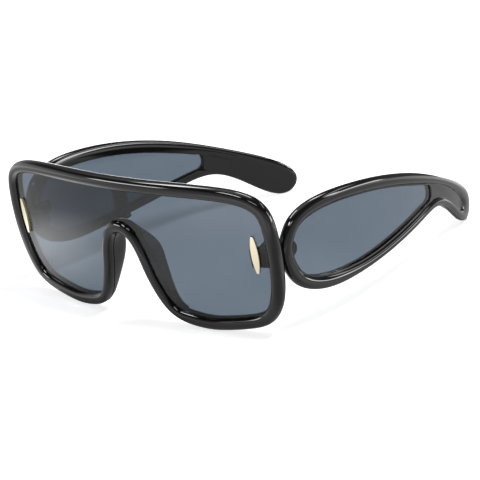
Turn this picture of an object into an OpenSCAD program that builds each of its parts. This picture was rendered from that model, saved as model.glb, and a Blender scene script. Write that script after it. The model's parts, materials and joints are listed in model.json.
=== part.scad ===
// Oversized shield sunglasses with windowed temples.
// One tinted shield sits in a rounded rim, and each folding temple is a broad
// bead-edged loop with its own tinted side lens and a recessed panel towards the tip.
// Axes: +X towards the wearer's left, +Y back along the temples, +Z up.
// The glasses stand open on the two lower lobes of the rim and on both temple tips.

/* [Front] */
// Width of the rim, measured along its curve
front_w = 148.8; // [138:0.2:160]
// Height of the rim, measured along its curve
front_h = 62.8; // [58:0.2:68]
// Width of the rim's bead
rim_w = 5.6; // [5:0.1:6.4]
// Depth of the rim's bead, front to back
rim_d = 6; // [5.4:0.1:7]
// Radius that the shield and the rim are curved to
face_r = 250; // [200:5:320]
// Angle by which the top of the front leans forward
lean = 6; // [2:0.5:9]
// Height of the trims' middle above the rim's lowest centre line
hinge_h = 32.4; // [30:0.2:35]

/* [Nose] */
// Distance between the lowest points of the rim's two lower lobes
lobe_gap = 69; // [62:1:76]
// Height of the nose arch above those points, on the bead's centre line
arch_h = 39; // [35:0.2:41]
// Distance by which the rim is slimmer down the sides of the arch
arch_slim = 1.6; // [0.8:0.1:2]
// Depth of the nose pads behind the rim
pad_d = 6.3; // [5:0.1:8]
// Distance by which the pads' back edge is drawn in under the rim
pad_tuck = 0.6; // [0:0.1:1.2]
// Thickness of the pads at their back edge
pad_t = 2.2; // [1.8:0.1:3]
// Depth of the saddle behind the top of the arch
saddle_d = 0.8; // [0.6:0.1:3]
// Width of the post behind the shield
post_w = 5.6; // [4:0.2:9]
// Thickness of the post
post_t = 2.8; // [2:0.1:3.4]

/* [Lenses] */
// Thickness of the shield
shield_t = 2; // [1.6:0.1:2.4]
// Thickness of the side lenses
side_lens_t = 1.6; // [1.2:0.1:2]
// Distance of the side lenses' middle inside the temples' middle
side_lens_in = 0.9; // [0.3:0.1:0.9]
// Depth of the grooves that hold the lenses
groove_d = 1.2; // [0.9:0.1:1.4]

/* [Trims] */
// Height of the oval trim plaques
plaque_h = 15.6; // [12:0.4:20]
// Width of the plaques
plaque_w = 3.2; // [2.4:0.1:4]
// Width of the plaques' blunt ends
plaque_tip_w = 1.1; // [0.6:0.1:1.6]
// Thickness of the plaques
plaque_t = 1; // [0.6:0.1:1.4]
// Distance of the plaques' middle inside the lugs' outer side
plaque_in = 4.6; // [4:0.1:5.4]
// Radius of the studs that hold the plaques
stud_r = 0.6; // [0.5:0.05:0.7]
// Distance between a plaque's two studs
stud_gap = 3.6; // [3.2:0.2:4]
// Depth of the studs in the lugs
stud_l = 2.2; // [1.6:0.1:2.6]

/* [Hinges] */
// Height of the trims' middle over the hinges'
hinge_drop = 3; // [2:0.1:3.4]
// Depth of the hinge lugs behind the shield's middle surface
lug_d = 4.8; // [4.4:0.1:5.2]
// Height of the lugs
lug_h = 7.2; // [7:0.1:8]
// Margin of the lugs past the front plates' inner edge
lug_edge = 0.6; // [0.5:0.1:1.4]
// Distance of the hinge pins inside the lugs' outer side
pin_in = 3.8; // [3.5:0.1:4.2]
// Thickness of the hinge plates
leaf_t = 0.9; // [0.8:0.05:1.1]
// Width of the front plates
leaf_w = 5.8; // [5.6:0.1:6.4]
// Height of the hinge plates
leaf_h = 6.4; // [6.2:0.1:7]
// Outer radius of the hinge knuckles
knuckle_r = 1.9; // [1.7:0.05:2]
// Height of each of the three knuckles
knuckle_h = 2.4; // [2.2:0.05:2.5]
// Radius of the hinge screws
screw_r = 0.7; // [0.6:0.05:0.8]
// Radius of the screw heads
screw_head_r = 1.3; // [1.1:0.05:1.5]
// Height of the screw heads
screw_head_h = 0.6; // [0.4:0.05:0.8]
// Radius of the rivets that hold the plates
rivet_r = 0.5; // [0.4:0.05:0.6]
// Radius of the rivet heads
rivet_head_r = 0.85; // [0.75:0.05:0.95]
// Height of the rivet heads
rivet_head_h = 0.4; // [0.3:0.05:0.5]
// Depth of the rivets in what they hold to
rivet_l = 1.1; // [0.8:0.1:1.3]
// Length of a temple plate's round end past the bead
plate_show = 6; // [4:0.2:8]
// Distance between a plate's two rivets
rivet_gap = 4.4; // [4.3:0.1:4.7]
// Distance of the rivet heads from the edges of the plates
rivet_edge = 0.15; // [0.1:0.05:0.3]

/* [Temples] */
// Length of a temple from front end to tip, measured along its curve
temple_l = 155.6; // [145:0.5:165]
// Height of a temple over its front lobe
temple_h = 51.6; // [46:0.2:55]
// Radius that the temples are curved to, seen from above
temple_r = 290; // [280:2:296]
// Angle by which the temples start outward
splay = 7.5; // [6.5:0.1:8]
// Distance of a temple's middle inside the rim's widest point
temple_inset = 0.5; // [0:0.1:1]
// Thickness of a temple at its front end
temple_t = 5.2; // [4.8:0.1:5.6]
// Thickness of a temple at its tip
tip_t = 4; // [3.6:0.1:4.2]
// Width of the bead round a temple's window
bead_w = 5.3; // [4.8:0.1:5.8]
// Width of the bead below the window
low_bead_w = 3.8; // [3.2:0.1:5]
// Width of the bead round the panel near the tip
tip_bead_w = 3.8; // [3.2:0.1:4.4]
// Length of the window from the temple's front end
window_l = 105; // [96:0.5:108]
// Length of the window's rounded end
window_end = 5; // [4:0.2:7]
// Ledge between the window and the bead
ledge = 0.35; // [0.3:0.05:0.5]
// Depth of the panel under the bead's crest
panel_sink = 1.5; // [0.9:0.1:1.6]
// Chamfer of the window's outer edge
window_lead = 0.4; // [0.2:0.05:0.5]

/* [Fits] */
// Gap between a lens and the walls of its groove
lens_fit = 0.05; // [0.03:0.01:0.08]
// Gap between pieces that are seated on each other
seat = 0.05; // [0.03:0.01:0.08]
// Running gap round the hinge screws
run_fit = 0.05; // [0.03:0.01:0.08]
// Gap between neighbouring knuckles
knuckle_fit = 0.1; // [0.08:0.01:0.15]
// Gap between the rim and an open temple
butt_gap = 0.8; // [0.7:0.1:1.2]

/* [Hidden] */

$fn = 48;
// Finer steps on the large spheres and cylinders of the lenses
face_fn = 360;
// Degrees in an arc as long as its radius
radian = 180 / PI;
// Overrun of every cut
over = 1;
black = [0.06, 0.06, 0.065];
tint = [0.36, 0.42, 0.47, 0.55];
gold = [0.85, 0.72, 0.45];
steel = [0.25, 0.25, 0.27];

// Half of the rim's centre line from the top middle down the side, as shares of half the
// centre line's width and of its height
rim_shares = [
  [0, 1], [0.24, 1], [0.47, 0.997], [0.685, 0.985], [0.845, 0.955], [0.947, 0.89],
  [0.99, 0.767], [1, 0.561], [0.99, 0.381], [0.961, 0.221]
];
// From there to the lower lobe, as shares of the way out from the lobe's lowest point to the
// side, and of the height
lobe_shares = [[0.8, 0.091], [0.571, 0.034], [0.247, 0.005]];
// Half of the nose arch from the lower lobe's lowest point up to the middle,
// as shares of half the lobes' distance and of the arch's height
arch_shares = [
  [1, 0], [0.715, 0.05], [0.542, 0.165], [0.435, 0.345],
  [0.36, 0.54], [0.31, 0.715], [0.238, 0.87], [0.128, 0.97], [0, 1]
];
// Outer edge of a temple from its front end over the top to the tip and back below,
// as shares of its length and height
temple_shares = [
  [0, 0.65], [0.011, 0.795], [0.041, 0.91], [0.097, 0.98], [0.18, 1], [0.29, 0.975],
  [0.415, 0.913], [0.557, 0.802], [0.698, 0.65], [0.833, 0.481], [0.929, 0.343],
  [0.986, 0.222], [1, 0.105], [0.976, 0.018], [0.929, 0.012], [0.865, 0.108],
  [0.781, 0.275], [0.692, 0.37], [0.582, 0.346], [0.441, 0.292], [0.3, 0.252],
  [0.171, 0.246], [0.078, 0.314], [0.024, 0.446]
];
// Steps between two points of an outline
rim_steps = 3;
temple_steps = 4;
// Roundness of the beads: 2 is an ellipse, more is squarer
roundness = 2.4;

// Closed smooth curves
// Control points whose closed cubic B-spline passes through the given points
function controls(pts, rounds = 20, c = []) =
  let (n = len(pts), q = len(c) == 0 ? pts : c)
  rounds == 0 ? q :
  controls(pts, rounds - 1, [for (i = [0 : n - 1])
    (6 * pts[i] - q[(i + n - 1) % n] - q[(i + 1) % n]) / 4]);
function spline(a, b, c, d, t) =
  (pow(1 - t, 3) * a + (3 * pow(t, 3) - 6 * pow(t, 2) + 4) * b
  + (3 * t - 3 * pow(t, 3) + 3 * pow(t, 2) + 1) * c + pow(t, 3) * d) / 6;
function spline_at(c, t) =
  let (n = len(c), i = floor(t))
  spline(c[(i + n - 1) % n], c[i % n], c[(i + 1) % n], c[(i + 2) % n], t - i);
function closed_curve(pts, steps) =
  let (c = controls(pts))
  [for (k = [0 : len(pts) * steps - 1]) spline_at(c, k / steps)];
// Unit normals of a closed loop that runs clockwise, pointing out of it
function unit(v) = v / norm(v);
function normals(loop) =
  let (n = len(loop))
  [for (i = [0 : n - 1])
    let (d = unit(loop[(i + 1) % n] - loop[(i + n - 1) % n])) [-d[1], d[0]]];
function shifted(loop, out, by) = [for (i = [0 : len(loop) - 1]) loop[i] + by * out[i]];
function mix(a, b, t) = a + (b - a) * t;
function smooth(t) = let (c = max(0, min(1, t))) c * c * (3 - 2 * c);
function ramp(share, from, to) = smooth((share - from) / (to - from));
// Quarter-wave powers that square up a circle
function squared(v, p) = sign(v) * pow(abs(v), 2 / p);
function bead_depth(share) = pow(1 - pow(min(1, abs(share)), roundness), 1 / roundness);

// Closed skin over rings of points: a loop of rings, or capped at its first and last
module skin(rings, looped = true) {
  n = len(rings);
  m = len(rings[0]);
  points = [for (ring = rings) for (p = ring) p];
  last = looped ? n - 1 : n - 2;
  walls = [for (i = [0 : last]) for (j = [0 : m - 1])
    let (a = i * m + j, b = i * m + (j + 1) % m,
      c = (i + 1) % n * m + (j + 1) % m, d = (i + 1) % n * m + j)
    each [[a, b, c], [a, c, d]]];
  caps = looped ? [] : [
    [for (j = [m - 1 : -1 : 0]) j],
    [for (j = [0 : m - 1]) (n - 1) * m + j]
  ];
  polyhedron(points, concat(walls, caps), convexity = 10);
}

// Front: its surface is part of a sphere, u along the brow, z up, n towards the front
line_w = (front_w - rim_w) / 2;
line_h = front_h - rim_w;
function wrap(u, z, n) =
  let (a = u / face_r * radian, b = (z - hinge_h) / face_r * radian, r = face_r + n)
  [r * sin(a) * cos(b), face_r - r * cos(a) * cos(b), hinge_h + r * sin(b)];
function leaned(p) =
  [p[0], p[1] * cos(lean) - p[2] * sin(lean), p[1] * sin(lean) + p[2] * cos(lean)];

rim_half = concat(
  [for (s = rim_shares) [s[0] * line_w, s[1] * line_h]],
  [for (s = lobe_shares) [mix(lobe_gap / 2, line_w, s[0]), s[1] * line_h]],
  [for (s = arch_shares) [s[0] * lobe_gap / 2, s[1] * arch_h]]);
half_n = len(rim_half);
rim_points = concat(rim_half, [for (i = [half_n - 2 : -1 : 1]) [-rim_half[i][0], rim_half[i][1]]]);
rim_line = closed_curve(rim_points, rim_steps);
rim_out = normals(rim_line);

shield_g = shield_t / 2 + lens_fit;
// Angle on the bead at which the groove's lips start
lip_turn = asin(pow(shield_g * 2 / rim_d, roundness / 2));
bead_points = 13;
rim_section = concat(
  [for (k = [0 : bead_points - 1])
    let (t = 180 - lip_turn - k * (360 - 2 * lip_turn) / (bead_points - 1))
    [squared(cos(t), roundness) * rim_w / 2, squared(sin(t), roundness) * rim_d / 2]],
  [[groove_d - rim_w / 2, -shield_g], [groove_d - rim_w / 2, shield_g]]);
// Points from the arch's middle over which the bead turns slim and full again
slim_from_points = [0.6, 2.4];
slim_to_points = [7.6, 5.6];
arch_mid = half_n - 1;
function slim_at(t) = let (far = abs(t - arch_mid))
  arch_slim * ramp(far, slim_from_points[0], slim_from_points[1])
  * ramp(far, slim_to_points[0], slim_to_points[1]);
// Place across the bead once its lens side is drawn in, at a point of the centre line
function slimmed(across, t) = across + slim_at(t) * (1 / 2 - across / rim_w);
rim_rings = [for (i = [0 : len(rim_line) - 1]) [for (s = rim_section)
  let (p = rim_line[i] + slimmed(s[0], i / rim_steps) * rim_out[i]) wrap(p[0], p[1], s[1])]];

// Temple: its surface is part of an upright cylinder, s back along it, n outward
function bend(s, z, n) =
  let (a = 90 + splay - s / temple_r * radian, r = temple_r + n)
  [bend_x + r * sin(a), bend_y + r * cos(a), z];
temple_front_x = face_r * sin(line_w / face_r * radian) - temple_inset;
butt_y = leaned(wrap(line_w, hinge_h, -rim_d / 2))[1] + butt_gap;
bend_x = temple_front_x - temple_r * sin(90 + splay);
bend_y = butt_y - temple_r * cos(90 + splay);

temple_edge = closed_curve([for (p = temple_shares) [p[0] * temple_l, p[1] * temple_h]], temple_steps);
temple_out = normals(temple_edge);
temple_n = len(temple_edge);
temple_drop = -min([for (p = temple_edge) p[1]]);
// Shares of the length over which the bead narrows below the window and along the panel,
// and from which the panel's end is drawn in from the tip by a share of its distance
low_from_share = 0.12;
low_to_share = 0.36;
panel_from_share = 0.55;
panel_to_share = 0.75;
tip_from_share = 0.78;
tip_pull_share = 0.42;
tip_pole_shares = [0.84, 0.27];
tip_pole = [tip_pole_shares[0] * temple_l, tip_pole_shares[1] * temple_h];
function bead_at(share, out) =
  mix(mix(bead_w, low_bead_w, smooth(-out[1]) * ramp(share, low_from_share, low_to_share)),
    tip_bead_w, ramp(share, panel_from_share, panel_to_share));
bead_foot = [for (i = [0 : temple_n - 1])
  let (p = temple_edge[i], share = p[0] / temple_l,
    q = p - bead_at(share, temple_out[i]) * temple_out[i])
  mix(q, tip_pole, tip_pull_share * ramp(share, tip_from_share, 1))];
// The window follows the bead's foot up to its rounded end
end_s = window_l - window_end;
end_run = [for (i = [0 : temple_n - 1]) if (bead_foot[i][0] > end_s) i];
end_first = end_run[0];
end_last = end_run[len(end_run) - 1];
end_top = bead_foot[end_first][1] - ledge;
end_low = bead_foot[end_last][1] + ledge;
window = [for (i = [0 : temple_n - 1])
  i < end_first || i > end_last ? bead_foot[i] - ledge * temple_out[i] :
  let (t = 90 - 180 * (i - end_first + 0.5) / (end_last - end_first + 1))
  [end_s + window_end * squared(cos(t), roundness),
    (end_top + end_low) / 2 + (end_top - end_low) / 2 * squared(sin(t), roundness)]];
window_out = normals(window);
side_g = side_lens_t / 2 + lens_fit;
function temple_t_at(s) = mix(temple_t, tip_t, max(0, min(1, s / temple_l)));

// Points of one ring: round the groove, over the panel and the bead, back inside
dome_steps = 8;
function temple_ring(i) =
  let (e = temple_edge[i], f = bead_foot[i], w = window[i], o = window_out[i],
    half = temple_t_at(e[0]) / 2, floor_n = half - panel_sink,
    lead = min(window_lead, norm(f - w) / 3),
    foot_turn = asin(pow(floor_n / half, roundness / 2)),
    mid = (e + f) / 2, arm = (e - f) / 2,
    dome = [for (k = [0 : dome_steps])
      let (t = 180 - foot_turn - k * (270 - foot_turn) / dome_steps)
      [mid + arm * squared(cos(t), roundness), half * squared(sin(t), roundness)]],
    foot = dome[0][0],
    rows = concat(
      [[w, -half], [w, -side_g - side_lens_in], [w + groove_d * o, -side_g - side_lens_in],
        [w + groove_d * o, side_g - side_lens_in], [w, side_g - side_lens_in],
        [w, floor_n - lead], [w + lead * unit(foot - w), floor_n],
        [mix(w, foot, 1 / 2), floor_n], [mix(w, foot, 3 / 4), floor_n]],
      dome,
      [[mix(mid, w, 1 / 3), -half], [mix(mid, w, 2 / 3), -half]]))
  [for (r = rows) bend(r[0][0], r[0][1] + temple_drop, r[1])];
temple_rings = [for (i = [0 : temple_n - 1]) temple_ring(i)];

// Places of the front and the temples in the whole part
rim_all = [for (ring = rim_rings) for (p = ring) leaned(p)];
temple_all = [for (ring = temple_rings) for (p = ring) p];
front_z = -min([for (p = rim_all) p[2]]);
part_y = -(min([for (p = rim_all) p[1]]) + max([for (p = temple_all) p[1]])) / 2;

module front_place() {
  translate([0, part_y, front_z]) rotate([lean, 0, 0]) children();
}
module temple_place() {
  translate([0, part_y, 0]) children();
}
// Stands the children on the front's surface at the trims' height, -Y outward
module at_front(u, n) {
  translate([0, face_r, hinge_h]) rotate([0, 0, u / face_r * radian]) translate([0, -face_r - n, 0])
    children();
}
module at_hinge(u, n) {
  at_front(u, n) translate([0, 0, -hinge_drop]) children();
}
// Stands the children on the temple's surface at the pin's height, +X outward, +Y back
module at_temple(s, n) {
  translate([bend_x, bend_y, pin[2]]) rotate([0, 0, s / temple_r * radian - splay])
    translate([temple_r + n, 0, 0]) children();
}

// Places along the front: the lugs' outer side meets the rim's inner edge, and the plaques,
// the pins and the front plates are placed from there
lug_end = line_w - rim_w / 2 - 4 * seat;
plaque_u = lug_end - plaque_in;
pin_u = lug_end - pin_in;
leaf_u = pin_u + knuckle_r - leaf_w / 2;
front_rivet_u = leaf_u - leaf_w / 2 + rivet_head_r + rivet_edge;
lug_w = lug_end - leaf_u + leaf_w / 2 + lug_edge;
lug_u = lug_end - lug_w / 2;

// Hinge pin: behind the lug, square to the leaning front, so a folded temple lies along it
knuckle_back = lug_d + seat + leaf_t + knuckle_fit + knuckle_r;
pin = leaned(wrap(pin_u, hinge_h, -knuckle_back) - [0, 0, hinge_drop]) + [0, 0, front_z];
module at_pin() {
  translate(pin) rotate([lean, 0, 0]) children();
}
hinge_span = 3 * knuckle_h + 2 * knuckle_fit;
// Height of the outer knuckles' middles over the middle one
knuckle_rise = knuckle_h + knuckle_fit;

module front_frame() {
  color(black) front_place() skin(rim_rings);
}

module sphere_shell(outer, inner) {
  translate([0, face_r, hinge_h]) difference() {
    sphere(r = outer, $fn = face_fn);
    sphere(r = inner, $fn = face_fn);
  }
}

// Upright outline seen from the front, pushed through the whole depth of the front
module front_prism(outline) {
  translate([0, face_r / 2, 0]) rotate([90, 0, 0]) linear_extrude(height = face_r) polygon(outline);
}

module shield_lens() {
  // Drawn in by what the curve adds to the width across the shield's thickness
  bed = groove_d - rim_w / 2;
  edge = [for (i = [0 : len(rim_line) - 1]) rim_line[i] + rim_out[i]
    * (slimmed(bed, i / rim_steps) - 2 * lens_fit - shield_t / 2 * line_w / face_r)];
  color(tint) front_place() difference() {
    intersection() {
      sphere_shell(face_r + shield_t / 2, face_r - shield_t / 2);
      front_prism([for (p = edge) let (q = wrap(p[0], p[1], 0)) [q[0], q[2]]]);
    }
    for (side = [-1, 1]) at_hinge(side * plaque_u, 0) studs(stud_r + run_fit, over);
  }
}

// Two studs along Y, through the shield into the lug
module studs(r, extra) {
  for (z = [-1, 1]) translate([0, -shield_t / 2 - extra, z * stud_gap / 2])
    rotate([-90, 0, 0]) cylinder(r = r, h = shield_t + stud_l + 2 * extra);
}

module blunt_oval(w, h, tip_w) {
  swell = (w - tip_w) / 2;
  r = (h * h / 4 + swell * swell) / (2 * swell);
  intersection() {
    square([w, h], center = true);
    translate([r - w / 2, 0]) circle(r = r, $fn = 2 * $fn);
    translate([w / 2 - r, 0]) circle(r = r, $fn = 2 * $fn);
  }
}

module trim_plaque_left() {
  color(gold) front_place() {
    at_front(plaque_u, shield_t / 2 + seat) rotate([90, 0, 0]) linear_extrude(height = plaque_t)
      blunt_oval(plaque_w, plaque_h, plaque_tip_w);
    at_hinge(plaque_u, 0) studs(stud_r, seat + plaque_t / 4);
  }
}

module hinge_lug_left() {
  color(black) front_place() difference() {
    intersection() {
      at_hinge(lug_u, 0) translate([-lug_w / 2, 0, -lug_h / 2]) cube([lug_w, lug_d, lug_h]);
      translate([0, face_r, hinge_h]) sphere(r = face_r - shield_t / 2 - seat, $fn = face_fn);
    }
    at_hinge(plaque_u, 0) studs(stud_r + run_fit, seat + plaque_t / 4 + run_fit);
    at_hinge(front_rivet_u, 0) plate_rivets(rivet_r + run_fit, rivet_l + run_fit, lug_d, 0);
  }
}

// Rivets of the front plate: shanks reach forward into the lug from its back face
module plate_rivets(r, depth, back, extra) {
  for (z = [-1, 1]) translate([0, back - depth, z * rivet_gap / 2])
    rotate([-90, 0, 0]) cylinder(r = r, h = depth + leaf_t + seat + extra);
}

module front_hinge_left() {
  turn = pin_u / face_r * radian;
  reach = knuckle_r + knuckle_fit + leaf_t / 2;
  color(steel) difference() {
    union() {
      front_place() at_hinge(leaf_u, 0) translate([-leaf_w / 2, lug_d + seat, -leaf_h / 2])
        cube([leaf_w, leaf_t, leaf_h]);
      temple_place() at_pin() rotate([0, 0, turn]) for (z = [-1, 1])
        translate([0, 0, z * knuckle_rise - knuckle_h / 2]) {
          cylinder(r = knuckle_r, h = knuckle_h);
          translate([-knuckle_r, -reach, 0]) cube([2 * knuckle_r, reach, knuckle_h]);
        }
    }
    temple_place() at_pin() cylinder(r = screw_r + run_fit, h = hinge_span + 2 * over, center = true);
    temple_place() at_pin()
      cylinder(r = knuckle_r + knuckle_fit, h = knuckle_h + 2 * knuckle_fit, center = true);
    front_place() at_hinge(front_rivet_u, 0) plate_rivets(rivet_r + run_fit, rivet_l, lug_d, over);
  }
}

module front_hinge_rivets_left() {
  color(steel) front_place() at_hinge(front_rivet_u, 0) {
    plate_rivets(rivet_r, rivet_l, lug_d, seat);
    for (z = [-1, 1]) translate([0, lug_d + leaf_t + 2 * seat, z * rivet_gap / 2])
      rotate([-90, 0, 0]) cylinder(r = rivet_head_r, h = rivet_head_h);
  }
}

module hinge_screw_left() {
  color(steel) temple_place() at_pin() {
    translate([0, 0, -hinge_span / 2]) cylinder(r = screw_r, h = hinge_span + seat);
    translate([0, 0, hinge_span / 2 + seat]) cylinder(r = screw_head_r, h = screw_head_h);
  }
}

// Temple plate: on the bead's inner face, with a round end that shows past the bead
plate_run = bead_w / 2 + plate_show - leaf_h / 2;
plate_lead = rivet_head_r + rivet_edge;
module temple_hinge_left() {
  arm_l = temple_front_x - temple_t / 2 - pin[0] - leaf_t / 2;
  color(steel) temple_place() difference() {
    union() {
      at_temple(bead_w / 2, -temple_t / 2 - seat - leaf_t) {
        translate([0, plate_run, 0]) rotate([0, 90, 0]) cylinder(r = leaf_h / 2, h = leaf_t);
        translate([0, -plate_lead, -leaf_h / 2]) cube([leaf_t, plate_run + plate_lead, leaf_h]);
      }
      at_pin() {
        cylinder(r = knuckle_r, h = knuckle_h, center = true);
        translate([0, -knuckle_r / 2, -knuckle_h / 2]) cube([arm_l, knuckle_r, knuckle_h]);
      }
    }
    at_pin() cylinder(r = screw_r + run_fit, h = knuckle_h + 2 * over, center = true);
    temple_rivet_shanks(rivet_r + run_fit, over);
  }
}

module temple_rivet_shanks(r, extra) {
  for (z = [-1, 1]) at_temple(bead_w / 2, -temple_t / 2 - seat - leaf_t - extra)
    translate([0, 0, z * rivet_gap / 2]) rotate([0, 90, 0])
      cylinder(r = r, h = leaf_t + seat + rivet_l + extra);
}

module temple_hinge_rivets_left() {
  color(steel) temple_place() {
    temple_rivet_shanks(rivet_r, seat);
    for (z = [-1, 1]) at_temple(bead_w / 2, -temple_t / 2 - 2 * seat - leaf_t - rivet_head_h)
      translate([0, 0, z * rivet_gap / 2]) rotate([0, 90, 0])
        cylinder(r = rivet_head_r, h = rivet_head_h);
  }
}

module temple_frame_left() {
  color(black) temple_place() difference() {
    skin(temple_rings);
    temple_rivet_shanks(rivet_r + run_fit, 0);
  }
}

module side_lens_left() {
  edge = shifted(window, window_out,
    groove_d - 2 * lens_fit - side_lens_t / 2 * window_l / temple_r);
  mid_r = temple_r - side_lens_in;
  side_view = [for (p = edge)
    let (q = bend(p[0], p[1] + temple_drop, -side_lens_in)) [q[1], q[2]]];
  color(tint) temple_place() intersection() {
    translate([bend_x, bend_y, 0]) difference() {
      cylinder(r = mid_r + side_lens_t / 2, h = temple_h, $fn = face_fn);
      translate([0, 0, -over])
        cylinder(r = mid_r - side_lens_t / 2, h = temple_h + 2 * over, $fn = face_fn);
    }
    rotate([90, 0, 90]) linear_extrude(height = front_w) polygon(side_view);
  }
}

// Nose piece: pads swept round the arch behind the rim, and a post behind the shield
// Share of the way from there to the lower lobe's lowest point over which a pad runs
pad_run_share = 0.85;
arch_run = pad_run_share * (len(arch_shares) - 1);
pad_stations = 44;
// Places across the bead at which the pads lie on it, from the shield's side to the nose's
root_shares = [-0.72, -0.36, 0, 0.33, 0.66, 0.9, 0.97];
root_last = len(root_shares) - 1;
// Width and depth shares at which the pad's sides thin towards its back edge
waist_shares = [0.45, 0.45];
heel_shares = [0.85, 0.8];
edge_share = 0.6;
// The depth swells from the arch to its peak, and fades out on the lower lobe
arch_share = 0.14;
peak_share = 0.47;
saddle_share = 0.42;
nudge_share = 0.01;
rim_controls = controls(rim_points);
function pad_line(t) = spline_at(rim_controls, arch_mid + arch_run * t);
function pad_out(t) =
  let (d = unit(pad_line(t + nudge_share) - pad_line(t - nudge_share))) [-d[1], d[0]];
function pad_swell(t) =
  ramp(abs(t), arch_share, peak_share) * ramp(abs(t), 1, peak_share);
function pad_side(root, edge, back, shares) =
  [mix(root, edge, shares[0]), mix(-rim_d / 2, back, shares[1])];
function pad_ring(t) =
  let (p = pad_line(t), o = pad_out(t), k = pad_swell(t),
    depth = mix(saddle_d * smooth((1 - abs(t)) / saddle_share), pad_d, k) + pad_t / 4,
    back = -rim_d / 2 - depth,
    inner = -pad_t / 2 + pad_tuck * k, outer = pad_t / 2 + pad_tuck * k,
    mid = (inner + outer) / 2,
    root = [for (s = root_shares)
      [slimmed(s * (rim_w / 2 + 3 * seat), arch_mid + arch_run * t),
        -bead_depth(s) * (rim_d / 2 + 3 * seat)]],
    low = root[0][0], high = root[root_last][0],
    blade = [
      pad_side(high, outer, back, waist_shares),
      pad_side(high, outer, back, heel_shares),
      [mix(mid, outer, edge_share), back],
      [mix(mid, inner, edge_share), back],
      pad_side(low, inner, back, heel_shares),
      pad_side(low, inner, back, waist_shares)
    ])
  [for (s = concat(root, blade)) let (q = p + s[0] * o) wrap(q[0], q[1], s[1])];

// Post: its foot widens by a share of its width over a share of its height
flare_share = 0.35;
foot_share = 1.25;
post_steps = 8;
function post_half(t) = post_w / 2 * mix(1, foot_share, pow(max(0, 1 - t / flare_share), 2));

module nose_piece() {
  post_top = line_h - rim_w / 2 - 2 * seat;
  post_low = arch_h + rim_w / 2 + 2 * seat;
  post_n = -shield_t / 2 - 5 * seat;
  rise = post_top - post_low;
  right = [for (i = [0 : post_steps])
    [post_half(i / post_steps), post_low + rise * i / post_steps]];
  outline = concat(right, [for (i = [post_steps : -1 : 0]) [-right[i][0], right[i][1]]]);
  color(black) front_place() {
    skin([for (i = [0 : pad_stations]) pad_ring(2 * i / pad_stations - 1)], false);
    intersection() {
      sphere_shell(face_r + post_n, face_r + post_n - post_t);
      front_prism(outline);
    }
  }
}

module mirrored() {
  mirror([1, 0, 0]) children();
}

front_frame();
shield_lens();
nose_piece();
mirrored() trim_plaque_left();  // trim_plaque_right
trim_plaque_left();
mirrored() hinge_lug_left();  // hinge_lug_right
hinge_lug_left();
mirrored() front_hinge_left();  // front_hinge_right
front_hinge_left();
mirrored() front_hinge_rivets_left();  // front_hinge_rivets_right
front_hinge_rivets_left();
mirrored() hinge_screw_left();  // hinge_screw_right
hinge_screw_left();
mirrored() temple_hinge_left();  // temple_hinge_right
temple_hinge_left();
mirrored() temple_hinge_rivets_left();  // temple_hinge_rivets_right
temple_hinge_rivets_left();
mirrored() temple_frame_left();  // temple_frame_right
temple_frame_left();
mirrored() side_lens_left();  // side_lens_right
side_lens_left();
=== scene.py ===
"""Oversized shield sunglasses with tinted lenses, gold plaques and folding temples."""

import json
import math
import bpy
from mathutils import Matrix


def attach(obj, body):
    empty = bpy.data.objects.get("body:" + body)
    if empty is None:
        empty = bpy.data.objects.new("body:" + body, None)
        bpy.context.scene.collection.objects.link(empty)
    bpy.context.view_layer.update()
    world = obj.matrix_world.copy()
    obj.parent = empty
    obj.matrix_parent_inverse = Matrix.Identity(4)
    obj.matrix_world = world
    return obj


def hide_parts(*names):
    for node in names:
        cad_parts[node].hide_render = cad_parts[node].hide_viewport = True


bl_info = {
    "name": "Shield Sunglasses",
    "version": (1, 0, 0),
    "blender": (4, 5, 0),
    "location": "3D View > Sidebar > Sunglasses",
    "description": "Dresses a pair of shield sunglasses around its measured solids",
    "category": "Add Mesh",
}

import bmesh
import bpy
from bpy.props import FloatProperty, FloatVectorProperty, IntProperty, PointerProperty
from mathutils import Matrix, Vector

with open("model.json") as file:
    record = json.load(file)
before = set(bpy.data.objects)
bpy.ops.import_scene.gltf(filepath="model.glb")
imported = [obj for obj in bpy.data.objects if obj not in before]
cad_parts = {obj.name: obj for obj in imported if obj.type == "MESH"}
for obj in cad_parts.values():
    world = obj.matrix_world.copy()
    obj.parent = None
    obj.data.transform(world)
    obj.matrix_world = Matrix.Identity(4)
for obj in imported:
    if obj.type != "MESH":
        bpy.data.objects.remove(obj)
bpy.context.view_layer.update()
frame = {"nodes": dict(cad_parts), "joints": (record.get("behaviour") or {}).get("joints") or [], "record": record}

MM = 0.001
BODY_OF = {
    node: body
    for body, nodes in frame["record"]["behaviour"]["bodies"].items()
    for node in nodes
}
SIDES = ("left", "right")


# Sizes and colours -------------------------------------------------------------------


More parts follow.
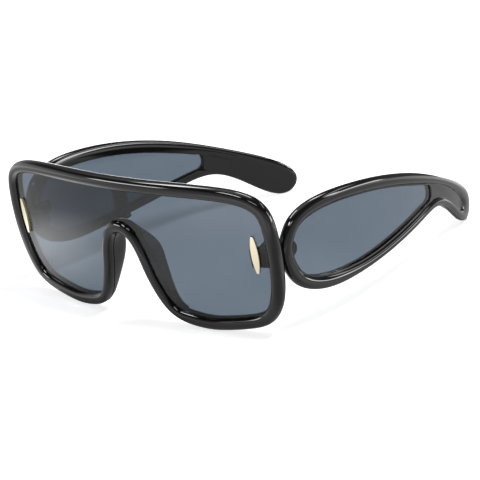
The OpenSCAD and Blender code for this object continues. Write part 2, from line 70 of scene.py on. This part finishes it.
class SunglassesSizes(bpy.types.PropertyGroup):
    """Sizes of the finishing work on the solids."""

    lip_radius: FloatProperty(
        name="Lip radius", description="Rounding of the lips round the lenses",
        default=0.16 * MM, subtype="DISTANCE", unit="LENGTH",
    )
    skin_levels: IntProperty(
        name="Skin smoothing", description="Subdivisions of the polished skins",
        default=2, min=0, max=3,
    )
    sharp_turn: FloatProperty(
        name="Sharp turn", description="Turn between faces past which an edge is a lip",
        default=math.radians(40), subtype="ANGLE", unit="ROTATION",
    )
    metal_edge: FloatProperty(
        name="Metal edge", description="Rounding of the edges of plates and knuckles",
        default=0.08 * MM, subtype="DISTANCE", unit="LENGTH",
    )
    trim_edge: FloatProperty(
        name="Trim edge", description="Rounding of the edges of the gold plaques",
        default=0.42 * MM, subtype="DISTANCE", unit="LENGTH",
    )
    lug_edge: FloatProperty(
        name="Lug edge", description="Rounding of the edges of the hinge lugs",
        default=0.35 * MM, subtype="DISTANCE", unit="LENGTH",
    )
    screw_radius: FloatProperty(
        name="Screw radius", description="Radius of the hinge screws' shanks",
        default=0.7 * MM, subtype="DISTANCE", unit="LENGTH",
    )
    screw_length: FloatProperty(
        name="Screw length", description="Length of the shanks under the heads",
        default=7.45 * MM, subtype="DISTANCE", unit="LENGTH",
    )
    head_radius: FloatProperty(
        name="Head radius", description="Radius of the screw heads",
        default=1.3 * MM, subtype="DISTANCE", unit="LENGTH",
    )
    head_height: FloatProperty(
        name="Head height", description="Height of the screw heads",
        default=0.6 * MM, subtype="DISTANCE", unit="LENGTH",
    )
    slot_width: FloatProperty(
        name="Slot width", description="Width of the slots in the screw heads",
        default=0.36 * MM, subtype="DISTANCE", unit="LENGTH",
    )


class SunglassesColours(bpy.types.PropertyGroup):
    """Colours of the finishes."""

    acetate: FloatVectorProperty(
        name="Acetate", description="Black of the rim and temples",
        default=(0.0062, 0.0062, 0.0066), subtype="COLOR", size=3, min=0, max=1,
    )
    acetate_deep: FloatVectorProperty(
        name="Acetate depth", description="Deeper black that clouds the acetate",
        default=(0.0040, 0.0040, 0.0044), subtype="COLOR", size=3, min=0, max=1,
    )
    rubbed: FloatVectorProperty(
        name="Satin black", description="Black of the nose pads and lugs",
        default=(0.0035, 0.0035, 0.0038), subtype="COLOR", size=3, min=0, max=1,
    )
    tint: FloatVectorProperty(
        name="Lens tint", description="What each face of a lens lets through",
        default=(0.292, 0.335, 0.379), subtype="COLOR", size=3, min=0, max=1,
    )
    gold: FloatVectorProperty(
        name="Gold", description="Pale gold of the plaques",
        default=(0.98, 0.90, 0.70), subtype="COLOR", size=3, min=0, max=1,
    )
    gold_deep: FloatVectorProperty(
        name="Gold depth", description="Warmer gold in the brushing",
        default=(0.94, 0.83, 0.58), subtype="COLOR", size=3, min=0, max=1,
    )
    steel: FloatVectorProperty(
        name="Steel", description="Dark steel of the screws and rivets",
        default=(0.20, 0.20, 0.21), subtype="COLOR", size=3, min=0, max=1,
    )
    steel_deep: FloatVectorProperty(
        name="Steel depth", description="Darker steel in the tumbling marks",
        default=(0.12, 0.12, 0.13), subtype="COLOR", size=3, min=0, max=1,
    )
    blackened: FloatVectorProperty(
        name="Blackened steel", description="Steel of the hinge plates",
        default=(0.045, 0.045, 0.048), subtype="COLOR", size=3, min=0, max=1,
    )
    blackened_deep: FloatVectorProperty(
        name="Blackened depth", description="Darker steel in the marks on those plates",
        default=(0.025, 0.025, 0.027), subtype="COLOR", size=3, min=0, max=1,
    )
    floor: FloatVectorProperty(
        name="Floor", description="White of the table",
        default=(0.73, 0.73, 0.73), subtype="COLOR", size=3, min=0, max=1,
    )
    floor_deep: FloatVectorProperty(
        name="Floor in mirrors", description="Table as polished parts show it",
        default=(0.50, 0.50, 0.50), subtype="COLOR", size=3, min=0, max=1,
    )


class SunglassesView(bpy.types.PropertyGroup):
    """Where the camera stands and how the key lamp lights the glasses."""

    azimuth: FloatProperty(
        name="Azimuth", description="Turn of the camera round the glasses",
        default=math.radians(42.736), subtype="ANGLE", unit="ROTATION",
    )
    elevation: FloatProperty(
        name="Elevation", description="Height angle of the camera",
        default=math.radians(18.295), subtype="ANGLE", unit="ROTATION",
    )
    roll: FloatProperty(
        name="Roll", description="Turn of the picture",
        default=math.radians(-6.569), subtype="ANGLE", unit="ROTATION",
    )
    distance: FloatProperty(
        name="Distance", description="From the camera to the middle of the picture",
        default=0.81684, subtype="DISTANCE", unit="LENGTH",
    )
    target: FloatVectorProperty(
        name="Target", description="Point in the middle of the picture",
        default=(0.01453, -0.02859, 0.01988), subtype="TRANSLATION", size=3,
        unit="LENGTH",
    )
    lens: FloatProperty(
        name="Lens", description="Focal length on a 36 mm sensor",
        default=147.8, unit="CAMERA",
    )
    key_place: FloatVectorProperty(
        name="Key place", description="Where the key lamp hangs over the glasses",
        default=(0.37, 0.05, 0.92), subtype="TRANSLATION", size=3, unit="LENGTH",
    )
    key_size: FloatProperty(
        name="Key size", description="Width of the key lamp, which softens the shadows",
        default=0.35, subtype="DISTANCE", unit="LENGTH",
    )
    key_power: FloatProperty(
        name="Key power", description="Power of the key lamp",
        default=8.5, unit="POWER",
    )


# Finishes ----------------------------------------------------------------------------


# Noise scales, in grains a metre. Three numbers stretch the grain along an axis
PLASTIC_CLOUDS = 45.0
PLASTIC_WIPES = (160.0, 60.0, 420.0)
PLASTIC_SKIN = 900.0
LENS_WIPES = 38.0
METAL_CLOUDS = 350.0
BRUSHED_LINES = (2600.0, 2600.0, 90.0)
TUMBLED_MARKS = (900.0, 900.0, 900.0)

# Roughness, from the least to the most
ACETATE_ROUGH = (0.03, 0.06)
SATIN_ROUGH = (0.26, 0.36)
LENS_ROUGH = (0.02, 0.05)
GOLD_ROUGH = (0.14, 0.24)
STEEL_ROUGH = (0.28, 0.42)

# What a lens face mirrors of light that meets it squarely, and what a smear adds
LENS_MIRROR = 0.04
LENS_SMEAR = 0.006

# What makes the table white for the camera, on top of the light that falls on it
TABLE_WHITE = 0.79

# Spots on the table that only mirrors show: middle, radius that is full, radius at
# which the spot has faded out, and strength
TABLE_SPOTS = (
    ((0.125, -0.025, 0.0), 0.01, 0.06, 0.5),
    ((-0.097, -0.087, 0.0), 0.01, 0.065, 1.2),
    ((0.05, -0.07, 0.0), 0.01, 0.035, 0.38),
)

# Fans on the table that only mirrors show: direction from the origin, closeness to it
# at which the fan starts and is full, strength, and distances at which it does so
TABLE_FANS = (
    ((-0.9, -0.42, 0.0), 0.85, 0.98, 1.2, 0.25, 0.4),
    ((-0.7, 0.7, 0.0), 0.7, 0.95, 2.5, 0.11, 0.16),
)

# Strength of the studio overhead and of its walls
OVERHEAD = 0.056
WALLS = 0.60

# Lamps of the studio that only mirrors show: azimuth from +Y towards +X and elevation
# of the middle, half the width and half the height, all in degrees, and strength
SKY_LAMPS = (
    (-138, 17, 9, 5, 11.2),
    (43, 16, 2.5, 7, 13),
    (35, 4, 10, 4, 8.8),
    (22, 35, 12, 3.5, 4),
    (-23, 48, 8, 4, 9.6),
    (-82, 54, 11, 4, 15.2),
    (-165, 57, 9, 4.5, 18.4),
    (140, 52, 12, 4, 7.2),
)

# Softness of a lamp's sides, and the step that keeps it off the far side of the sky
LAMP_EDGE = 0.025
LAMP_SIDE = (0.3, 0.4)


class Wire:
    """A node's output that adds Math nodes when it is used in an expression."""

    def __init__(self, finish, socket):
        self.finish = finish
        self.socket = socket

    def _math(self, operation, *values):
        return self.finish.add(
            "ShaderNodeMath", {"operation": operation}, dict(enumerate(values))
        )

    def __add__(self, other):
        return self._math("ADD", self, other)

    __radd__ = __add__

    def __sub__(self, other):
        return self._math("SUBTRACT", self, other)

    def __rsub__(self, other):
        return self._math("SUBTRACT", other, self)

    def __mul__(self, other):
        return self._math("MULTIPLY", self, other)

    __rmul__ = __mul__

    def __pow__(self, other):
        return self._math("POWER", self, other)

    def __abs__(self):
        return self._math("ABSOLUTE", self)


class Finish:
    """A node tree under construction."""

    def __init__(self, owner):
        owner.use_nodes = True
        self.tree = owner.node_tree
        self.tree.nodes.clear()

    def add(self, kind, settings=None, values=None, output=0):
        """Adds a node: its settings first, then the values or wires of its sockets."""
        node = self.tree.nodes.new(kind)
        for key, value in (settings or {}).items():
            setattr(node, key, value)
        for key, value in (values or {}).items():
            if isinstance(value, Wire):
                self.tree.links.new(value.socket, node.inputs[key])
            else:
                node.inputs[key].default_value = value
        return Wire(self, node.outputs[output])

    def end(self, kind, surface):
        """Adds the output node and gives it the surface."""
        node = self.tree.nodes.new(kind)
        self.tree.links.new(surface.socket, node.inputs["Surface"])

    def object_point(self):
        """The point on the piece, in metres."""
        return self.add("ShaderNodeTexCoord", output="Object")

    def rays(self, kind):
        """1 for rays of that kind and 0 for all others."""
        return self.add("ShaderNodeLightPath", output=kind)

    def measure(self, operation, first, second):
        """A number that is measured between two points or directions."""
        return self.add(
            "ShaderNodeVectorMath",
            {"operation": operation},
            {0: first, 1: second},
            output="Value",
        )

    def along(self, point, direction):
        """How far a point or ray goes in a direction."""
        return self.measure("DOT_PRODUCT", point, direction)

    def apart(self, point, place):
        """How far a point is from a place."""
        return self.measure("DISTANCE", point, place)

    def between(self, value, low, high, to_low=0.0, to_high=1.0):
        """A smooth step from one result below low to another above high."""
        return self.add(
            "ShaderNodeMapRange",
            {"interpolation_type": "SMOOTHSTEP"},
            {0: value, 1: low, 2: high, 3: to_low, 4: to_high},
        )

    def patch(self, ray, azimuth, elevation, reach, edge):
        """A round patch of sky that fades over its edge and ends at its reach."""
        return self.between(
            self.along(ray, pointing(azimuth, elevation)),
            math.cos(math.radians(reach)),
            math.cos(math.radians(reach - edge)),
        )

    def panel(self, ray, azimuth, elevation, wide, tall):
        """A lamp in the sky that reaches so far to each side and so far up and down."""
        middle = pointing(azimuth, elevation)
        side = pointing(azimuth + 90, 0)
        up = pointing(azimuth, elevation + 90)
        lit = self.between(self.along(ray, middle), *LAMP_SIDE)
        for way, half in ((side, wide), (up, tall)):
            off = abs(self.along(ray, way))
            reach = math.sin(math.radians(half))
            inner, outer = reach - LAMP_EDGE, reach + LAMP_EDGE
            lit = lit * self.between(off, inner, outer, 1.0, 0.0)
        return lit

    def stretched(self, point, scale):
        """The point for a pattern that is finer along some axes than along others."""
        return self.add("ShaderNodeMapping", {}, {"Vector": point, "Scale": scale})

    def noise(self, point, scale, detail=3.0, roughness=0.5):
        """Cloudy noise from 0 to 1."""
        return self.add(
            "ShaderNodeTexNoise",
            {},
            {"Vector": point, "Scale": scale, "Detail": detail, "Roughness": roughness},
        )

    def blend(self, share, first, second):
        """The first colour, with that share of the second."""
        return self.add(
            "ShaderNodeMix",
            {"data_type": "RGBA"},
            {0: share, 6: rgba(first), 7: rgba(second)},
            output=2,
        )

    def bump(self, height, strength, distance):
        """The surface's normal over small heights."""
        return self.add(
            "ShaderNodeBump",
            {},
            {"Height": height, "Strength": strength, "Distance": distance},
        )


def rgba(colour):
    """A colour as a node's socket takes it."""
    return (colour[0], colour[1], colour[2], 1.0)


def pointing(azimuth, elevation):
    """The direction to a place in the sky: degrees from +Y towards +X, and upwards."""
    turn, rise = math.radians(azimuth), math.radians(elevation)
    flat = math.cos(rise)
    return (flat * math.sin(turn), flat * math.cos(turn), math.sin(rise))


def material(name, build, *values):
    """The material of that name, built once."""
    if name in bpy.data.materials:
        return bpy.data.materials[name]
    made = bpy.data.materials.new(name)
    finish = Finish(made)
    finish.end("ShaderNodeOutputMaterial", build(finish, *values))
    return made


def moulded_plastic(finish, colour, deep, rough):
    """Moulded black plastic: faint clouds, wiping marks and the skin of the mould."""
    point = finish.object_point()
    cloud = finish.noise(point, PLASTIC_CLOUDS)
    wiped = finish.noise(finish.stretched(point, PLASTIC_WIPES), 1.0, detail=4.0)
    skin = finish.noise(point, PLASTIC_SKIN, detail=2.0)
    return finish.add(
        "ShaderNodeBsdfPrincipled",
        {},
        {
            "Base Color": finish.blend(cloud, colour, deep),
            "Roughness": finish.between(wiped, 0.35, 0.7, *rough),
            "Normal": finish.bump(skin, 0.05, 0.02 * MM),
            "IOR": 1.5,
        },
    )


def tinted_lens(finish, tint):
    """Grey-blue lens: each face tints what it lets through, and mirrors a little."""
    wiped = finish.noise(finish.object_point(), LENS_WIPES)
    mirror = finish.add(
        "ShaderNodeBsdfPrincipled",
        {},
        {
            "Base Color": (1.0, 1.0, 1.0, 1.0),
            "Metallic": 1.0,
            "Roughness": finish.between(wiped, 0.3, 0.75, *LENS_ROUGH),
        },
    )
    clear = finish.add("ShaderNodeBsdfTransparent", {}, {"Color": rgba(tint)})
    slant = finish.add("ShaderNodeLayerWeight", {}, {"Blend": 0.5}, output="Facing")
    share = (
        LENS_MIRROR
        + (1.0 - LENS_MIRROR) * slant ** 5
        + finish.between(wiped, 0.4, 0.8, 0.0, LENS_SMEAR)
    )
    return finish.add("ShaderNodeMixShader", {}, {0: share, 1: clear, 2: mirror})


def worked_metal(finish, colour, deep, marks, rough):
    """Metal with the fine marks of brushing or tumbling."""
    point = finish.object_point()
    lines = finish.noise(finish.stretched(point, marks), 1.0, detail=5.0, roughness=0.6)
    cloud = finish.noise(point, METAL_CLOUDS, detail=2.0)
    return finish.add(
        "ShaderNodeBsdfPrincipled",
        {},
        {
            "Base Color": finish.blend(lines, colour, deep),
            "Metallic": 1.0,
            "Roughness": finish.between(cloud, 0.3, 0.7, *rough),
            "Normal": finish.bump(lines, 0.08, 0.01 * MM),
        },
    )


def table_glow(finish):
    """How bright the table is in polished parts, from place to place."""
    point = finish.object_point()
    away = finish.apart(point, (0.0, 0.0, 0.0))
    back = finish.along(point, (0.0, 1.0, 0.0))
    left = finish.along(point, (1.0, 0.0, 0.0))
    slanting_back = finish.along(point, (-0.3, 1.0, 0.0))
    slanting_right = finish.along(point, (-0.94, -0.34, 0.0))
    # Behind the front, away from where the glasses stand, and brighter further back
    behind = (
        finish.between(back, -0.06, 0.03, 0.0, 0.14)
        + finish.between(slanting_back, 0.10, 0.15, 0.0, 0.85)
    ) * finish.between(away, 0.03, 0.09)
    # Before the front, on the wearer's right, and further out on the wearer's left
    before_right = (
        finish.between(back, -0.09, -0.07, 0.48, 0.0)
        * finish.between(slanting_right, -0.04, 0.02)
    )
    before_left = (
        finish.between(back, -0.20, -0.14, 0.6, 0.0) * finish.between(left, -0.06, 0.0)
    )
    glow = behind + before_right + before_left
    for middle, full, end, strength in TABLE_SPOTS:
        off = finish.apart(point, middle)
        glow = glow + finish.between(off, full, end, strength, 0.0)
    way = finish.add("ShaderNodeVectorMath", {"operation": "NORMALIZE"}, {0: point})
    for direction, start, full, strength, near, far in TABLE_FANS:
        fan = finish.between(finish.along(way, direction), start, full, 0.0, strength)
        glow = glow + fan * finish.between(away, near, far)
    return glow


def table_white(finish, colour, deep):
    """White table that stays white in the picture and glows in polished parts."""
    seen = finish.rays("Is Camera Ray")
    mirrored = finish.rays("Is Glossy Ray")
    cloth = finish.add(
        "ShaderNodeBsdfDiffuse", {}, {"Color": finish.blend(mirrored, colour, deep)}
    )
    lit = finish.add(
        "ShaderNodeEmission",
        {},
        {"Strength": seen * TABLE_WHITE + mirrored * table_glow(finish)},
    )
    return finish.add("ShaderNodeAddShader", {}, {0: cloth, 1: lit})


def studio_sky(finish):
    """Pale walls, dark overhead, lamps for mirrors, plain white for the camera."""
    ray = finish.add("ShaderNodeTexCoord", output="Generated")
    height = finish.add("ShaderNodeSeparateXYZ", {}, {0: ray}, output="Z")
    gap = finish.patch(ray, -15, 14, 46, 22)
    high_gap = finish.patch(ray, 52, 30, 34, 14)
    bright_wall = finish.patch(ray, -100, 0, 40, 30)
    bright_ceiling = finish.patch(ray, -50, 62, 34, 24)
    wall = WALLS + 0.72 * bright_wall
    wall_share = finish.between(height, 0.15, 0.6, 1.0, 0.0) * (1.0 - 0.75 * gap)
    wall_share = wall_share * (1.0 - 0.8 * high_gap)
    light = OVERHEAD + wall_share * (wall - OVERHEAD) + 0.8 * bright_ceiling
    lamps = 0.0
    for azimuth, elevation, wide, tall, strength in SKY_LAMPS:
        lamps = lamps + finish.panel(ray, azimuth, elevation, wide, tall) * strength
    seen = finish.rays("Is Camera Ray")
    mirrored = finish.rays("Is Glossy Ray")
    return finish.add(
        "ShaderNodeBackground",
        {},
        {
            "Color": (1.0, 1.0, 1.0, 1.0),
            "Strength": (light + lamps * mirrored) * (1.0 - seen) + seen,
        },
    )


def acetate_look(colours):
    """Polished black of the rim and temples."""
    return material(
        "Polished black acetate", moulded_plastic,
        colours.acetate, colours.acetate_deep, ACETATE_ROUGH,
    )


def satin_look(colours):
    """Satin black of the nose pads and lugs."""
    return material(
        "Satin black plastic", moulded_plastic,
        colours.rubbed, colours.acetate, SATIN_ROUGH,
    )


def lens_look(colours):
    """Tint of the shield and the side lenses."""
    return material("Tinted lens", tinted_lens, colours.tint)


def gold_look(colours):
    """Brushed gold of the plaques."""
    return material(
        "Pale gold", worked_metal,
        colours.gold, colours.gold_deep, BRUSHED_LINES, GOLD_ROUGH,
    )


def steel_look(colours):
    """Tumbled steel of the screws and rivets."""
    return material(
        "Dark steel", worked_metal,
        colours.steel, colours.steel_deep, TUMBLED_MARKS, STEEL_ROUGH,
    )


def plate_look(colours):
    """Blackened steel of the hinge plates."""
    return material(
        "Blackened steel", worked_metal,
        colours.blackened, colours.blackened_deep, TUMBLED_MARKS, STEEL_ROUGH,
    )


# Shapes ------------------------------------------------------------------------------


# Corners of the solids that lie closer than this are one corner
SAME_POINT = 0.0005 * MM
# Faces that turn less than this are one flat face
FLAT_TURN = math.radians(0.5)
# Least turn at an edge of a cut piece, at a screw head's edge and at a screw's crease
CUT_EDGE = math.radians(30)
HEAD_EDGE = math.radians(60)
SCREW_CREASE = math.radians(50)
# Most that two triangles of one face of a skin turn, and how skewed that face may be
QUAD_TURN = math.radians(40)
QUAD_SKEW = math.radians(75)
# Pull of large faces on the shading of the small ones beside them, from 1 to 100
LARGE_FACE_PULL = 80
# Flat sides round a screw, and the room between its head and the knuckle
SCREW_SIDES = 40
HEAD_SEAT = 0.05 * MM


def merged(node):
    """A mesh under edit that holds a solid's faces with their corners joined."""
    shape = bmesh.new()
    shape.from_mesh(frame["nodes"][node].data)
    bmesh.ops.remove_doubles(shape, verts=shape.verts, dist=SAME_POINT)
    loose = [edge for edge in shape.edges if not edge.link_faces]
    bmesh.ops.delete(shape, geom=loose, context="EDGES")
    return shape


def lips(shape, turn):
    """The edges at which two faces meet at more than that turn."""
    return [
        edge for edge in shape.edges
        if len(edge.link_faces) == 2 and edge.calc_face_angle(0.0) > turn
    ]


def creased(shape, turn):
    """Keeps the shading sharp at the edges past that turn."""
    for edge in lips(shape, turn):
        edge.smooth = False


def rounded(shape, edges, radius, segments):
    """Rounds the edges."""
    bmesh.ops.bevel(
        shape, geom=edges, offset=radius, offset_type="OFFSET", affect="EDGES",
        segments=segments, profile=0.5, material=-1, clamp_overlap=True,
    )


def quads(shape):
    """Joins the pairs of triangles that each face of a skin was cut into."""
    bmesh.ops.join_triangles(
        shape, faces=shape.faces,
        angle_face_threshold=QUAD_TURN, angle_shape_threshold=QUAD_SKEW,
    )


def finished(shape, name, node, look):
    """Makes of a mesh a piece that stands for a node and moves with its body."""
    mesh = bpy.data.meshes.new(name)
    shape.to_mesh(mesh)
    shape.free()
    for face in mesh.polygons:
        face.use_smooth = True
    mesh.materials.append(look)
    piece = bpy.data.objects.new(name, mesh)
    bpy.context.scene.collection.objects.link(piece)
    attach(piece, BODY_OF[node])
    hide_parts(node)
    return piece


def skin_piece(node, name, look, sizes):
    """A moulded skin: quads, rounded lips, then smoothed."""
    shape = merged(node)
    quads(shape)
    rounded(shape, lips(shape, sizes.sharp_turn), sizes.lip_radius, 1)
    piece = finished(shape, name, node, look)
    polish = piece.modifiers.new("Polish", "SUBSURF")
    polish.levels = sizes.skin_levels
    polish.render_levels = sizes.skin_levels
    polish.use_limit_surface = True
    polish.boundary_smooth = "ALL"


def hard_piece(node, name, look, radius, segments=2):
    """A cut or stamped piece: flat faces joined, edges rounded."""
    shape = merged(node)
    bmesh.ops.dissolve_limit(
        shape, angle_limit=FLAT_TURN, verts=shape.verts, edges=shape.edges
    )
    rounded(shape, lips(shape, CUT_EDGE), radius, segments)
    piece = finished(shape, name, node, look)
    shading = piece.modifiers.new("Even shading", "WEIGHTED_NORMAL")
    shading.keep_sharp = True
    shading.weight = LARGE_FACE_PULL


def lens_piece(node, name, look):
    """A lens: its faces smooth up to their cut edge."""
    shape = merged(node)
    creased(shape, CUT_EDGE)
    finished(shape, name, node, look)


def disc(radius, low, high):
    """A mesh under edit that holds an upright cylinder between two heights."""
    shape = bmesh.new()
    bmesh.ops.create_cone(
        shape, cap_ends=True, segments=SCREW_SIDES, radius1=radius, radius2=radius,
        depth=high - low, matrix=Matrix.Translation((0, 0, (low + high) / 2)),
    )
    return shape


def half_head(sizes, way, low, high):
    """The half of a screw head that stands on one side of its slot."""
    half = disc(sizes.head_radius, low, high)
    cut = bmesh.ops.bisect_plane(
        half, geom=half.verts[:] + half.edges[:] + half.faces[:],
        plane_co=(way * sizes.slot_width / 2, 0, 0), plane_no=(way, 0, 0),
        clear_inner=True,
    )["geom_cut"]
    rim = [item for item in cut if isinstance(item, bmesh.types.BMEdge)]
    bmesh.ops.holes_fill(half, edges=rim)
    rounded(half, lips(half, HEAD_EDGE), sizes.metal_edge, 2)
    return half


def slotted_screw(sizes):
    """A screw that stands upright, with the middle of its hinge at the origin."""
    top = sizes.screw_length / 2 - HEAD_SEAT / 2
    under_head = top + HEAD_SEAT
    slot_floor = under_head + sizes.head_height / 2
    head_top = slot_floor + sizes.head_height / 2
    parts = [
        disc(sizes.screw_radius, -top, under_head),
        disc(sizes.head_radius, under_head, slot_floor),
        half_head(sizes, -1, slot_floor, head_top),
        half_head(sizes, 1, slot_floor, head_top),
    ]
    whole = bmesh.new()
    for part in parts:
        held = bpy.data.meshes.new("part")
        part.to_mesh(held)
        part.free()
        whole.from_mesh(held)
        bpy.data.meshes.remove(held)
    bmesh.ops.recalc_face_normals(whole, faces=whole.faces)
    return whole


# Operators ---------------------------------------------------------------------------


class SUNGLASSES_OT_rim(bpy.types.Operator):
    """Polish the rim that carries the shield"""

    bl_idname = "sunglasses.rim"
    bl_label = "Rim"

    def execute(self, context):
        scene = context.scene
        skin_piece(
            "front_frame", "rim_polished",
            acetate_look(scene.sunglasses_colours), scene.sunglasses_sizes,
        )
        return {"FINISHED"}


class SUNGLASSES_OT_temples(bpy.types.Operator):
    """Polish the two temples"""

    bl_idname = "sunglasses.temples"
    bl_label = "Temples"

    def execute(self, context):
        scene = context.scene
        for side in SIDES:
            skin_piece(
                f"temple_frame_{side}", f"temple_polished_{side}",
                acetate_look(scene.sunglasses_colours), scene.sunglasses_sizes,
            )
        return {"FINISHED"}


class SUNGLASSES_OT_nose(bpy.types.Operator):
    """Smooth the nose pads and the post"""

    bl_idname = "sunglasses.nose"
    bl_label = "Nose pads"

    def execute(self, context):
        scene = context.scene
        skin_piece(
            "nose_piece", "nose_pads",
            satin_look(scene.sunglasses_colours), scene.sunglasses_sizes,
        )
        return {"FINISHED"}


class SUNGLASSES_OT_lenses(bpy.types.Operator):
    """Tint the shield and the side lenses"""

    bl_idname = "sunglasses.lenses"
    bl_label = "Lenses"

    def execute(self, context):
        look = lens_look(context.scene.sunglasses_colours)
        lens_piece("shield_lens", "shield_tinted", look)
        for side in SIDES:
            lens_piece(f"side_lens_{side}", f"side_tinted_{side}", look)
        return {"FINISHED"}


class SUNGLASSES_OT_trims(bpy.types.Operator):
    """Brush the gold plaques"""

    bl_idname = "sunglasses.trims"
    bl_label = "Plaques"

    def execute(self, context):
        scene = context.scene
        gold = gold_look(scene.sunglasses_colours)
        for side in SIDES:
            hard_piece(
                f"trim_plaque_{side}", f"plaque_gold_{side}", gold,
                scene.sunglasses_sizes.trim_edge, 3,
            )
        return {"FINISHED"}


class SUNGLASSES_OT_hinges(bpy.types.Operator):
    """Finish the lugs, hinge plates and rivets"""

    bl_idname = "sunglasses.hinges"
    bl_label = "Hinges"

    def execute(self, context):
        scene = context.scene
        sizes = scene.sunglasses_sizes
        satin = satin_look(scene.sunglasses_colours)
        steel = steel_look(scene.sunglasses_colours)
        plate = plate_look(scene.sunglasses_colours)
        for side in SIDES:
            hard_piece(
                f"hinge_lug_{side}", f"lug_moulded_{side}", satin,
                sizes.lug_edge, 3,
            )
            for node in ("front_hinge", "temple_hinge"):
                hard_piece(
                    f"{node}_{side}", f"{node}_stamped_{side}", plate,
                    sizes.metal_edge,
                )
            for node in ("front_hinge_rivets", "temple_hinge_rivets"):
                hard_piece(
                    f"{node}_{side}", f"{node}_domed_{side}", steel,
                    2 * sizes.metal_edge, 3,
                )
        return {"FINISHED"}


class SUNGLASSES_OT_screws(bpy.types.Operator):
    """Turn the slotted hinge screws"""

    bl_idname = "sunglasses.screws"
    bl_label = "Screws"

    def execute(self, context):
        scene = context.scene
        steel = steel_look(scene.sunglasses_colours)
        for joint in frame["joints"]:
            side = joint["child"].removeprefix("temple_")
            axis = Vector(joint["axis"])
            axis = axis if axis.z > 0 else -axis
            lean = axis.to_track_quat("Z", "Y").to_matrix().to_4x4()
            place = Matrix.Translation(joint["pos_m"]) @ lean
            screw = slotted_screw(scene.sunglasses_sizes)
            bmesh.ops.transform(screw, matrix=place, verts=screw.verts)
            creased(screw, SCREW_CREASE)
            finished(
                screw, f"screw_slotted_{side}", f"hinge_screw_{side}", steel
            )
        return {"FINISHED"}


class SUNGLASSES_OT_stage(bpy.types.Operator):
    """Set the white table, the studio light and the camera"""

    bl_idname = "sunglasses.stage"
    bl_label = "Stage"

    # All in metres, but the sensor in millimetres
    table_half = 6.0
    nearest = 0.01
    farthest = 30.0
    sensor = 36.0

    def lay_table(self, scene):
        """A white table that reaches well past the picture."""
        colours = scene.sunglasses_colours
        mesh = bpy.data.meshes.new("table")
        shape = bmesh.new()
        bmesh.ops.create_grid(shape, x_segments=2, y_segments=2, size=self.table_half)
        shape.to_mesh(mesh)
        shape.free()
        mesh.materials.append(
            material("White table", table_white, colours.floor, colours.floor_deep)
        )
        table = bpy.data.objects.new("table", mesh)
        scene.collection.objects.link(table)

    def light_studio(self, scene):
        """The studio's walls and lamps, and the key lamp that casts the shadow."""
        view = scene.sunglasses_view
        scene.world = bpy.data.worlds.new("Studio")
        sky = Finish(scene.world)
        sky.end("ShaderNodeOutputWorld", studio_sky(sky))
        key = bpy.data.lights.new("key", "AREA")
        key.shape = "DISK"
        key.size = view.key_size
        key.energy = view.key_power
        lamp = bpy.data.objects.new("key", key)
        lamp.location = view.key_place
        lamp.rotation_euler = (-lamp.location).to_track_quat("-Z", "Y").to_euler()
        lamp.visible_glossy = False
        scene.collection.objects.link(lamp)

    def place_camera(self, scene):
        """The camera, turned round its target."""
        view = scene.sunglasses_view
        camera_data = bpy.data.cameras.new("camera")
        camera_data.sensor_width = self.sensor
        camera_data.lens = view.lens
        camera_data.clip_start = self.nearest
        camera_data.clip_end = self.farthest
        camera = bpy.data.objects.new("camera", camera_data)
        scene.collection.objects.link(camera)
        turn = (
            Matrix.Rotation(view.azimuth, 4, "Z")
            @ Matrix.Rotation(math.pi / 2 - view.elevation, 4, "X")
            @ Matrix.Rotation(view.roll, 4, "Z")
        )
        place = Vector(view.target) + view.distance * (turn @ Vector((0, 0, 1)))
        camera.matrix_world = Matrix.Translation(place) @ turn
        scene.camera = camera

    def execute(self, context):
        scene = context.scene
        self.lay_table(scene)
        self.light_studio(scene)
        self.place_camera(scene)
        scene.view_settings.view_transform = "Standard"
        return {"FINISHED"}


OPERATORS = (
    SUNGLASSES_OT_rim,
    SUNGLASSES_OT_temples,
    SUNGLASSES_OT_nose,
    SUNGLASSES_OT_lenses,
    SUNGLASSES_OT_trims,
    SUNGLASSES_OT_hinges,
    SUNGLASSES_OT_screws,
    SUNGLASSES_OT_stage,
)

GROUPS = {
    "sunglasses_sizes": SunglassesSizes,
    "sunglasses_colours": SunglassesColours,
    "sunglasses_view": SunglassesView,
}


class SUNGLASSES_PT_panel(bpy.types.Panel):
    """Lists the pieces, and the sizes, colours and view that they are made from"""

    bl_idname = "SUNGLASSES_PT_panel"
    bl_label = "Sunglasses"
    bl_space_type = "VIEW_3D"
    bl_region_type = "UI"
    bl_category = "Sunglasses"

    def draw(self, context):
        for operator in OPERATORS:
            self.layout.operator(operator.bl_idname)
        for group_name in GROUPS:
            group = getattr(context.scene, group_name)
            box = self.layout.box()
            for name in group.bl_rna.properties.keys():
                if name not in ("rna_type", "name"):
                    box.prop(group, name)


def register():
    for group in GROUPS.values():
        bpy.utils.register_class(group)
    for name, group in GROUPS.items():
        setattr(bpy.types.Scene, name, PointerProperty(type=group))
    for operator in OPERATORS:
        bpy.utils.register_class(operator)
    bpy.utils.register_class(SUNGLASSES_PT_panel)


def unregister():
    bpy.utils.unregister_class(SUNGLASSES_PT_panel)
    for operator in reversed(OPERATORS):
        bpy.utils.unregister_class(operator)
    for name in GROUPS:
        delattr(bpy.types.Scene, name)
    for group in GROUPS.values():
        bpy.utils.unregister_class(group)


def main():
    register()
    for operator in OPERATORS:
        group, name = operator.bl_idname.split(".")
        getattr(getattr(bpy.ops, group), name)()


if __name__ == "__main__":
    main()
